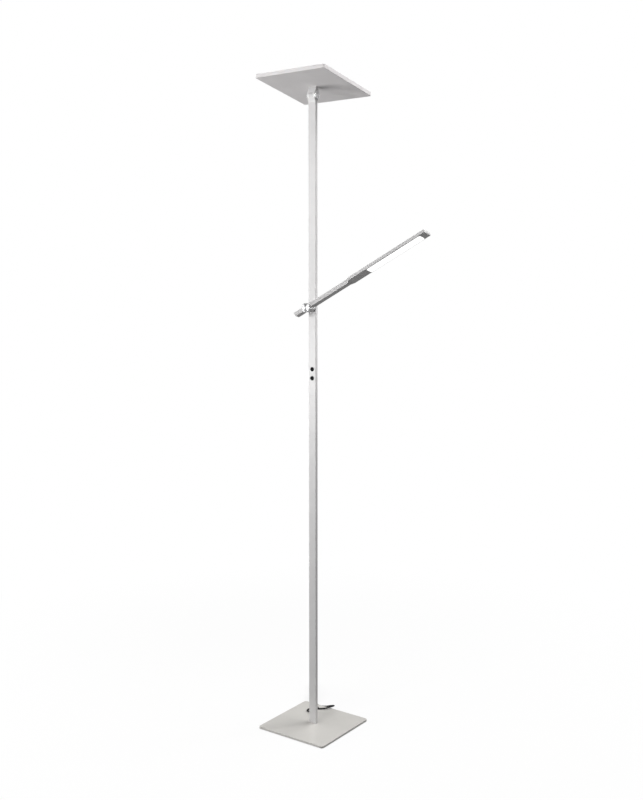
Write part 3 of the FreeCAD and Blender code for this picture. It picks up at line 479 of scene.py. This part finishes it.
opalSheet = {"color": (0.70, 0.70, 0.685), "spread": 0.015, "speckle": 0.05, "grain": 0.4, "cloud": 40,
             "bump": 0.08, "depth": 0.02, "roughness": (0.5, 0.58)}
litOpal = {**opalSheet, "glow": 1.15, "glowColor": (1.0, 1.0, 1.0)}
brassPin = {"color": (0.70, 0.53, 0.24), "spread": 0.06, "speckle": 0.15, "grain": 0.2, "cloud": 5,
            "bump": 0.12, "depth": 0.01, "roughness": (0.22, 0.32), "metallic": 1.0}

# one finish for each slot of the record, and for the nodes whose own finish differs from their slot's
slotFinish = {
    "silver_paint": newFinish("silverPaint", silverPaint),
    "steel": newFinish("zincSteel", zincSteel),
    "dark_steel": newFinish("blackOxide", blackOxide),
    "bright": newFinish("spunChrome", spunChrome),
    "pad": newFinish("foamPad", foamPad),
    "black_rubber": newFinish("rubber", rubber),
    "black_cable": newFinish("cableJacket", cableJacket),
    "dark_washer": newFinish("darkWasher", darkWasher),
    "black_plastic": newFinish("blackPlastic", blackPlastic),
    "grey_plastic": newFinish("greyPlastic", greyPlastic),
    "pale_plastic": newFinish("palePlastic", palePlastic),
    "board": newFinish("solderMask", solderMask),
    "lamp": newFinish("phosphor", phosphor),
    "diffuser": newFinish("opalSheet", opalSheet),
    "brass": newFinish("brassPin", brassPin),
}
ownFinish = {
    "base_plate": newFinish("platePaint", platePaint),
    "head_pan": newFinish("panPaintLightened", panPaintLightened),
    "head_bracket": newFinish("bracketPaintedLight", bracketPaintedLight),
    "button_top": newFinish("blackButton", blackButton),
    "pivot_hub": newFinish("satinHub", satinHub),
    "hinge_caps": newFinish("spunChromeX", hingeChrome),
    "reading_diffuser": newFinish("litOpal", litOpal),
}
ownFinish["button_bottom"] = ownFinish["button_top"]


def paintPiece(piece, material):
    slots = piece.data.materials
    slots.clear()
    slots.append(material)
    if piece.type == "MESH":
        for polygon in piece.data.polygons:
            polygon.material_index = 0


for row in frame["record"]["subparts"]:
    name = row["node"]
    paintPiece(nodes[name], ownFinish.get(name) or slotFinish[row["material_slot"]])
paintPiece(powerCord, slotFinish["black_cable"])
paintPiece(strainRelief, slotFinish["black_rubber"])
paintPiece(cordStrap, slotFinish["black_rubber"])
paintPiece(plugMoulding, slotFinish["black_plastic"])
print("finishes on")

# studio floor: nearShow is the share of plain white over the paper by the lamp, where its shadow lies
studio = {"floorSize": 14.0, "drop": 0.0002, "floorColor": (0.86, 0.86, 0.855, 1), "nearShow": 0.86,
          "nearReach": 0.5, "farReach": 1.8}


def whiteRays(tree):
    # what the camera sees straight or through a clear piece, and apart from it what gloss reflects
    link = tree.links.new
    rays = addNode(tree, "ShaderNodeLightPath")
    clear = addNode(tree, "ShaderNodeMath", operation="MAXIMUM")
    link(rays.outputs["Is Camera Ray"], clear.inputs[0])
    link(rays.outputs["Is Transmission Ray"], clear.inputs[1])
    return clear.outputs["Value"], rays.outputs["Is Glossy Ray"]


def addFloor():
    mesh = bmesh.new()
    bmesh.ops.create_grid(mesh, x_segments=4, y_segments=4, size=studio["floorSize"] / 2)
    data = bpy.data.meshes.new("floor")
    mesh.to_mesh(data)
    mesh.free()
    floor = bpy.data.objects.new("floor", data)
    collection.objects.link(floor)
    floor.location.z = -studio["drop"]
    floor.visible_diffuse = False
    floor.visible_glossy = False
    floor.visible_shadow = False  # so that the room's lower half still lights the lamp

    material = bpy.data.materials.new("floorPaper")
    material.use_nodes = True
    tree = material.node_tree
    tree.nodes.clear()
    link = tree.links.new
    paper = addNode(tree, "ShaderNodeBsdfDiffuse", {"Color": studio["floorColor"]})
    white = addNode(tree, "ShaderNodeEmission")
    # the paper shows its shadow near the lamp and fades to plain white further out
    spot = addNode(tree, "ShaderNodeTexCoord")
    away = addNode(tree, "ShaderNodeVectorMath", operation="LENGTH")
    link(spot.outputs["Object"], away.inputs[0])
    fade = addNode(tree, "ShaderNodeMapRange",
                   {"From Min": studio["nearReach"], "From Max": studio["farReach"],
                    "To Min": studio["nearShow"]},
                   interpolation_type="SMOOTHSTEP")
    link(away.outputs["Value"], fade.inputs["Value"])
    clear, glossy = whiteRays(tree)
    seen = addNode(tree, "ShaderNodeMath", operation="MAXIMUM")
    link(clear, seen.inputs[0])
    link(glossy, seen.inputs[1])
    share = addNode(tree, "ShaderNodeMath", operation="MULTIPLY")
    link(seen.outputs["Value"], share.inputs[0])
    link(fade.outputs["Result"], share.inputs[1])
    mix = addNode(tree, "ShaderNodeMixShader")
    link(share.outputs["Value"], mix.inputs["Fac"])
    link(paper.outputs["BSDF"], mix.inputs[1])
    link(white.outputs["Emission"], mix.inputs[2])
    out = addNode(tree, "ShaderNodeOutputMaterial")
    link(mix.outputs["Shader"], out.inputs["Surface"])
    data.materials.append(material)


addFloor()

# the room's grey by direction, from straight down (0) to straight up (1); mirrors see a share of white
room = {"levels": [(0.0, 0.17), (0.23, 0.17), (0.27, 0.28), (0.43, 0.28), (0.47, 0.02), (0.72, 0.02),
                   (0.78, 0.10), (1.0, 0.10)], "mirrorShare": 0.2}


def addWorld():
    world = bpy.data.worlds.new("studio")
    bpy.context.scene.world = world
    world.use_nodes = True
    tree = world.node_tree
    tree.nodes.clear()
    link = tree.links.new
    direction = addNode(tree, "ShaderNodeTexCoord")
    parts = addNode(tree, "ShaderNodeSeparateXYZ")
    link(direction.outputs["Generated"], parts.inputs["Vector"])
    height = addNode(tree, "ShaderNodeMapRange", {"From Min": -1.0})
    link(parts.outputs["Z"], height.inputs["Value"])
    ramp = addNode(tree, "ShaderNodeValToRGB")
    stops = ramp.color_ramp.elements  # a new ramp has two
    for index, (place, level) in enumerate(room["levels"]):
        stop = stops[index] if index < 2 else stops.new(place)
        stop.position = place
        stop.color = (level, level, level, 1)
    link(height.outputs["Result"], ramp.inputs["Fac"])
    walls = addNode(tree, "ShaderNodeBackground")
    link(ramp.outputs["Color"], walls.inputs["Color"])
    white = addNode(tree, "ShaderNodeBackground", {"Color": (1, 1, 1, 1)})
    clear, glossy = whiteRays(tree)
    mirrored = addNode(tree, "ShaderNodeMath", {1: room["mirrorShare"]}, operation="MULTIPLY")
    link(glossy, mirrored.inputs[0])
    either = addNode(tree, "ShaderNodeMath", operation="MAXIMUM")
    link(clear, either.inputs[0])
    link(mirrored.outputs["Value"], either.inputs[1])
    mix = addNode(tree, "ShaderNodeMixShader")
    link(either.outputs["Value"], mix.inputs["Fac"])
    link(walls.outputs["Background"], mix.inputs[1])
    link(white.outputs["Background"], mix.inputs[2])
    out = addNode(tree, "ShaderNodeOutputWorld")
    link(mix.outputs["Shader"], out.inputs["Surface"])


addWorld()

# soft boxes in front, at the left, behind and above; size in metres, power in watts
softBoxes = {
    "frontLeft": {"place": (-1.5, -2.1, 1.7), "aim": (0, 0, 1.1), "size": (0.9, 0.7), "power": 9},
    "nearLeft": {"place": (-0.62, -1.1, 0.95), "aim": (0, 0, 1.12), "size": (0.36, 0.36), "power": 2.6},
    "front": {"place": (0.0, -2.6, 2.5), "aim": (0, 0, 1.0), "size": (1.2, 1.0), "power": 43},
    "lowLeft": {"place": (-2.25, -1.0, 0.42), "aim": (0, 0, 1.3), "size": (1.4, 0.8), "power": 37},
    "lowBack": {"place": (-2.4, 2.6, 0.35), "aim": (0, 0, 1.8), "size": (2.2, 1.4), "power": 7},
    "topBack": {"place": (0.6, 1.6, 3.4), "aim": (0, 0, 0.6), "size": (1.6, 1.6), "power": 46},
    "topRight": {"place": (1.4, 0.9, 3.2), "aim": (0, 0, 0.8), "size": (1.4, 1.4), "power": 48},
    "rightBack": {"place": (1.5, 2.1, 1.05), "aim": (0, 0, 1.1), "size": (0.5, 0.5), "power": 5.2},
    "rightBackHigh": {"place": (1.5, 2.1, 2.0), "aim": (0, 0, 1.5), "size": (0.9, 0.9), "power": 5.5},
}
for name, box in softBoxes.items():
    lamp = bpy.data.lights.new(name, "AREA")
    lamp.shape = "RECTANGLE"
    lamp.size, lamp.size_y = box["size"]
    lamp.energy = box["power"]
    fitting = bpy.data.objects.new(name, lamp)
    fitting.location = box["place"]
    fitting.rotation_euler = (Vector(box["aim"]) - Vector(box["place"])).to_track_quat("-Z", "Y").to_euler()
    fitting.visible_camera = False
    collection.objects.link(fitting)
bpy.context.scene.view_settings.view_transform = "Standard"
print("studio lit")
